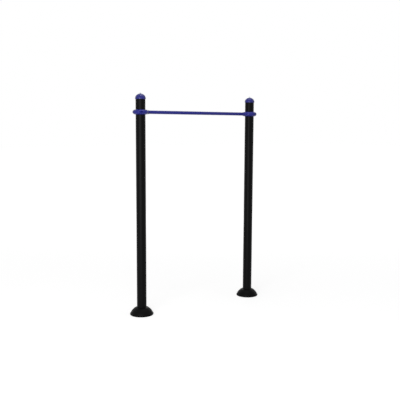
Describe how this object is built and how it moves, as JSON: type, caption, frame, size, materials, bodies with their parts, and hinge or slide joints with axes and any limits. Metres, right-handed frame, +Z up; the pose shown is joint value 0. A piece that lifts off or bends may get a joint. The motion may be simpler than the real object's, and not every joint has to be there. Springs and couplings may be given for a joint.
{
  "type": "outdoor pull-up bar station",
  "caption": "Outdoor pull-up station: round tube posts with domed caps and foot covers, and a high bar held between them in bullnose clamp collars.",
  "frame": {"origin": "on the ground, midway between the two posts", "axes": "+Z up, +X along the bar to the right-hand post of the picture, -Y towards the side seen in the picture"},
  "size_m": [1.881, 0.281, 2.6317],
  "materials": {
    "post_black": "black powder coat, semi-gloss",
    "cover_black": "black moulded plastic, satin",
    "bar_blue": "blue powder coat, semi-gloss",
    "collar_blue": "cast aluminium under blue powder coat, semi-gloss",
    "cap_blue": "cast aluminium under blue powder coat, semi-gloss",
    "galvanised_steel": "hot-dip galvanised, dull grey",
    "zinc_plated_screws": "zinc plated",
    "black_zinc_screws": "black zinc plated",
    "stainless_steel": "bright stainless steel"
  },
  "bodies": {
    "root": {"left_post_tube": "post_black", "left_base_flange": "galvanised_steel", "left_gusset_1": "galvanised_steel", "left_gusset_2": "galvanised_steel", "left_gusset_3": "galvanised_steel", "left_gusset_4": "galvanised_steel", "left_cover_front": "cover_black", "left_cover_rear": "cover_black", "left_cover_left_screw": "black_zinc_screws", "left_cover_right_screw": "black_zinc_screws", "left_collar_outer_half": "collar_blue", "left_collar_inner_half": "collar_blue", "left_collar_front_clamp_screw": "zinc_plated_screws", "left_collar_rear_clamp_screw": "zinc_plated_screws", "left_bar_bolt": "zinc_plated_screws", "left_bar_end_plug": "galvanised_steel", "left_post_cap": "cap_blue", "left_cap_washer": "stainless_steel", "left_cap_nut": "stainless_steel", "left_cap_stud": "zinc_plated_screws", "left_cap_bridge": "galvanised_steel", "right_post_tube": "post_black", "right_base_flange": "galvanised_steel", "right_gusset_1": "galvanised_steel", "right_gusset_2": "galvanised_steel", "right_gusset_3": "galvanised_steel", "right_gusset_4": "galvanised_steel", "right_cover_front": "cover_black", "right_cover_rear": "cover_black", "right_cover_left_screw": "black_zinc_screws", "right_cover_right_screw": "black_zinc_screws", "right_collar_outer_half": "collar_blue", "right_collar_inner_half": "collar_blue", "right_collar_front_clamp_screw": "zinc_plated_screws", "right_collar_rear_clamp_screw": "zinc_plated_screws", "right_bar_bolt": "zinc_plated_screws", "right_bar_end_plug": "galvanised_steel", "right_post_cap": "cap_blue", "right_cap_washer": "stainless_steel", "right_cap_nut": "stainless_steel", "right_cap_stud": "zinc_plated_screws", "right_cap_bridge": "galvanised_steel", "pull_up_bar": "bar_blue"}
  },
  "joints": []
}
